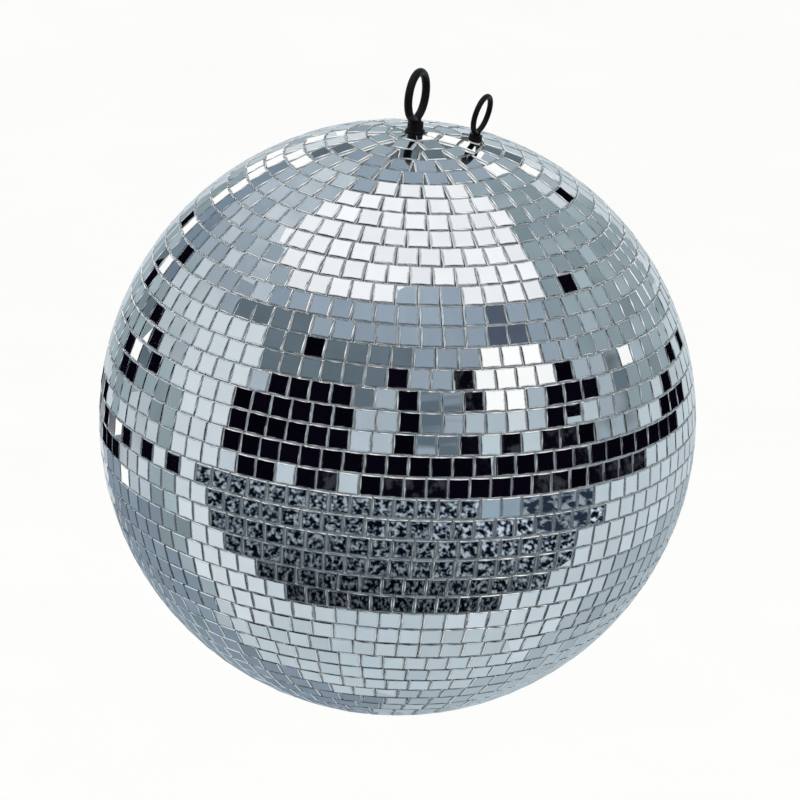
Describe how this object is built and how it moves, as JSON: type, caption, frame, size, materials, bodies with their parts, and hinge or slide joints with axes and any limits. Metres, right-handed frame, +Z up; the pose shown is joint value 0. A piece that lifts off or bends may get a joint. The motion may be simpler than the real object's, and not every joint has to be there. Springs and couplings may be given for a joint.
{
  "type": "mirror ball",
  "caption": "Hanging mirror ball: square mirror facets in level rows on a hollow moulded core, turning under a wire hanging eye, with a smaller safety eye beside it.",
  "frame": {"origin": "where a hook bears, at the top of the hole in the main hanging eye; the ball hangs below it", "axes": "+Z up along the ball's axis, +X from the main eye towards the safety eye, +Y level and across"},
  "size_m": [0.3005, 0.3004, 0.3326],
  "materials": {
    "mirror_glass": "silvered glass, polished, with cut edges",
    "core_plastic": "moulded, dark grey, with a film of adhesive outside",
    "black_steel": "black coated steel, semi-gloss",
    "zinc_steel": "zinc plated",
    "bush_nylon": "natural nylon"
  },
  "bodies": {
    "hanger": {"main_eye_loop": "black_steel", "main_eye_shank": "black_steel", "main_eye_washer": "zinc_steel", "main_eye_lock_nut": "zinc_steel"},
    "ball": {"upper_core": "core_plastic", "lower_core": "core_plastic", "load_plate": "zinc_steel", "plate_screws": "zinc_steel", "main_eye_bush": "bush_nylon", "safety_eye_bush": "bush_nylon", "facet_row_upper_01": "mirror_glass", "facet_row_upper_02": "mirror_glass", "facet_row_upper_03": "mirror_glass", "facet_row_upper_04": "mirror_glass", "facet_row_upper_05": "mirror_glass", "facet_row_upper_06": "mirror_glass", "facet_row_upper_07": "mirror_glass", "facet_row_upper_08": "mirror_glass", "facet_row_upper_09": "mirror_glass", "facet_row_upper_10": "mirror_glass", "facet_row_upper_11": "mirror_glass", "facet_row_upper_12": "mirror_glass", "facet_row_upper_13": "mirror_glass", "facet_row_upper_14": "mirror_glass", "facet_row_upper_15": "mirror_glass", "facet_row_upper_16": "mirror_glass", "facet_row_upper_17": "mirror_glass", "facet_row_upper_18": "mirror_glass", "facet_row_upper_19": "mirror_glass", "facet_row_upper_20": "mirror_glass", "facet_row_upper_21": "mirror_glass", "facet_row_lower_01": "mirror_glass", "facet_row_lower_02": "mirror_glass", "facet_row_lower_03": "mirror_glass", "facet_row_lower_04": "mirror_glass", "facet_row_lower_05": "mirror_glass", "facet_row_lower_06": "mirror_glass", "facet_row_lower_07": "mirror_glass", "facet_row_lower_08": "mirror_glass", "facet_row_lower_09": "mirror_glass", "facet_row_lower_10": "mirror_glass", "facet_row_lower_11": "mirror_glass", "facet_row_lower_12": "mirror_glass", "facet_row_lower_13": "mirror_glass", "facet_row_lower_14": "mirror_glass", "facet_row_lower_15": "mirror_glass", "facet_row_lower_16": "mirror_glass", "facet_row_lower_17": "mirror_glass", "facet_row_lower_18": "mirror_glass", "facet_row_lower_19": "mirror_glass", "facet_row_lower_20": "mirror_glass", "facet_row_lower_21": "mirror_glass", "nipped_facets_top": "mirror_glass", "nipped_facets_bottom": "mirror_glass"},
    "safety_eye": {"safety_eye_loop": "black_steel", "safety_eye_shank": "black_steel", "safety_eye_washer": "zinc_steel", "safety_eye_lock_nut": "zinc_steel"}
  },
  "joints": [
    {"name": "ball_spin", "type": "hinge", "parent": "hanger", "child": "ball", "pos_m": [0, 0, 0], "axis": [0, 0, 1], "continuous": true},
    {"name": "safety_eye_swivel", "type": "hinge", "parent": "ball", "child": "safety_eye", "pos_m": [0.03004, 0, -0.03236], "axis": [0.2013, 0, 0.9795], "continuous": true}
  ]
}
